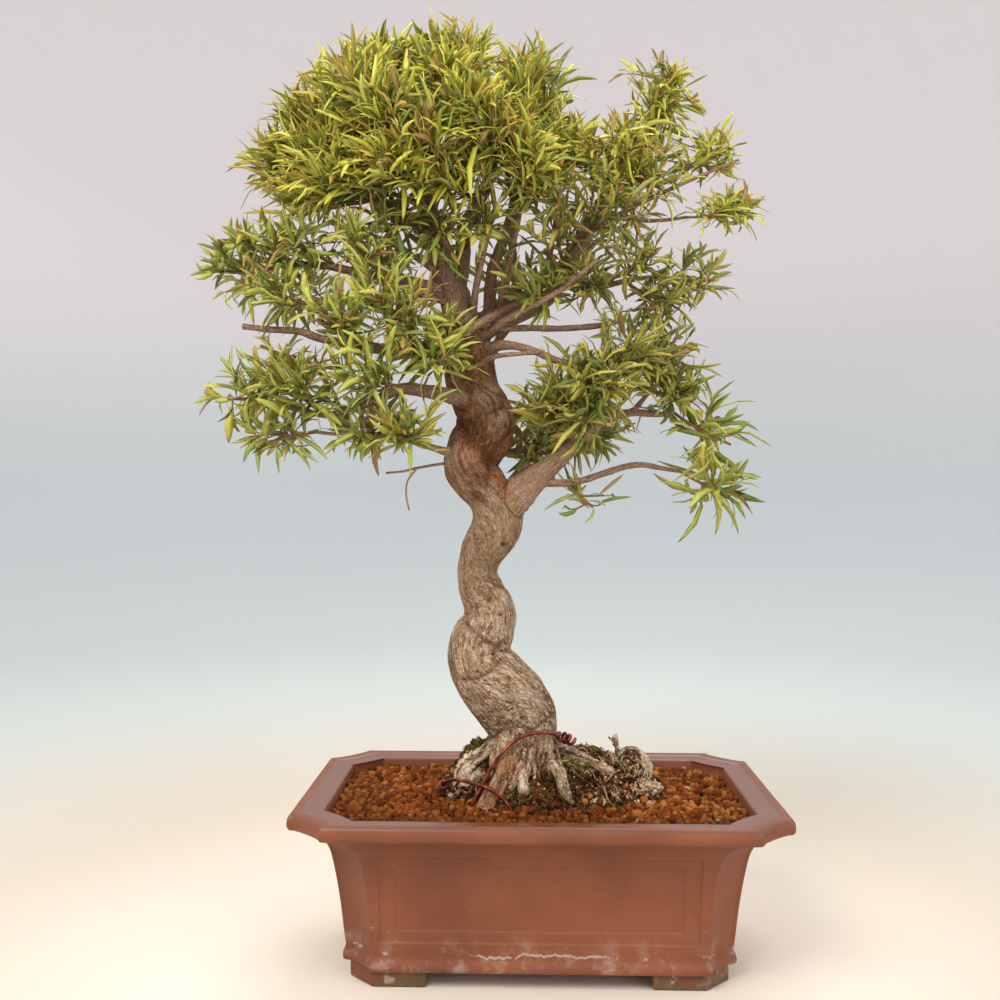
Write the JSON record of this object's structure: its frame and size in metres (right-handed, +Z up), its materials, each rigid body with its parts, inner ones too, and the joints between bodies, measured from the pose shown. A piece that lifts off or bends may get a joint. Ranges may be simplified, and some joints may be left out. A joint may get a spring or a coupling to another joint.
{
  "type": "potted bonsai tree",
  "caption": "Willow leaf fig bonsai with a winding trunk, domed leafy head and looser side shoots, growing from a rooty mound in a rectangular clay pot with sunk panels and corner feet.",
  "frame": {"origin": "on the surface that the feet stand on, under the middle of the whole plant's box", "axes": "+Z up, +X to the viewer's right along the pot's long side, -Y towards the viewer"},
  "size_m": [0.3704, 0.195, 0.6086],
  "materials": {
    "fired_clay": "unglazed brown clay with a slight sheen",
    "soil_grains": "dull baked clay grains",
    "root_mat": "rough fibrous mat with moss",
    "bark": "smooth grey-tan bark",
    "wire_lacquer": "copper-brown lacquer, satin",
    "screen_plastic": "black moulded plastic",
    "leaf_yellow_green": "soft leaf",
    "leaf_lime": "soft leaf",
    "leaf_bright": "soft leaf",
    "leaf_fresh": "soft leaf",
    "leaf_mid": "soft leaf",
    "leaf_deep": "soft leaf",
    "leaf_soft": "soft leaf",
    "leaf_shade": "soft leaf"
  },
  "bodies": {
    "root": {"pot": "fired_clay", "soil": "soil_grains", "root_ball": "root_mat", "trunk_and_branches": "bark", "tie_wire_upper": "wire_lacquer", "tie_wire_lower": "wire_lacquer", "drain_screen_left": "screen_plastic", "drain_screen_right": "screen_plastic", "spray_dome_01": "leaf_yellow_green", "spray_dome_02": "leaf_yellow_green", "spray_dome_03": "leaf_yellow_green", "spray_dome_04": "leaf_yellow_green", "spray_dome_05": "leaf_yellow_green", "spray_dome_06": "leaf_yellow_green", "spray_dome_07": "leaf_yellow_green", "spray_dome_08": "leaf_yellow_green", "spray_dome_09": "leaf_yellow_green", "spray_dome_10": "leaf_yellow_green", "spray_dome_11": "leaf_yellow_green", "spray_dome_12": "leaf_yellow_green", "spray_dome_13": "leaf_yellow_green", "spray_dome_14": "leaf_yellow_green", "spray_dome_15": "leaf_yellow_green", "spray_dome_16": "leaf_yellow_green", "spray_dome_17": "leaf_yellow_green", "spray_dome_18": "leaf_yellow_green", "spray_inner_01": "leaf_shade", "spray_left_01": "leaf_lime", "spray_left_02": "leaf_lime", "spray_left_03": "leaf_lime", "spray_left_04": "leaf_lime", "spray_left_05": "leaf_lime", "spray_left_06": "leaf_lime", "spray_left_07": "leaf_lime", "spray_left_08": "leaf_lime", "spray_lower_left_01": "leaf_bright", "spray_lower_left_02": "leaf_bright", "spray_lower_left_03": "leaf_bright", "spray_lower_left_04": "leaf_bright", "spray_lower_left_05": "leaf_bright", "spray_lower_left_06": "leaf_bright", "spray_right_low_01": "leaf_soft", "spray_right_low_02": "leaf_soft", "spray_right_low_03": "leaf_soft", "spray_right_lower_01": "leaf_deep", "spray_right_lower_02": "leaf_deep", "spray_right_lower_03": "leaf_deep", "spray_right_lower_04": "leaf_deep", "spray_right_lower_05": "leaf_deep", "spray_right_lower_06": "leaf_deep", "spray_right_middle_01": "leaf_mid", "spray_right_middle_02": "leaf_mid", "spray_right_middle_03": "leaf_mid", "spray_right_middle_04": "leaf_mid", "spray_right_middle_05": "leaf_mid", "spray_right_top_01": "leaf_fresh", "spray_right_top_02": "leaf_fresh", "spray_right_top_03": "leaf_fresh", "spray_right_top_04": "leaf_fresh", "spray_right_top_05": "leaf_fresh"}
  },
  "joints": []
}
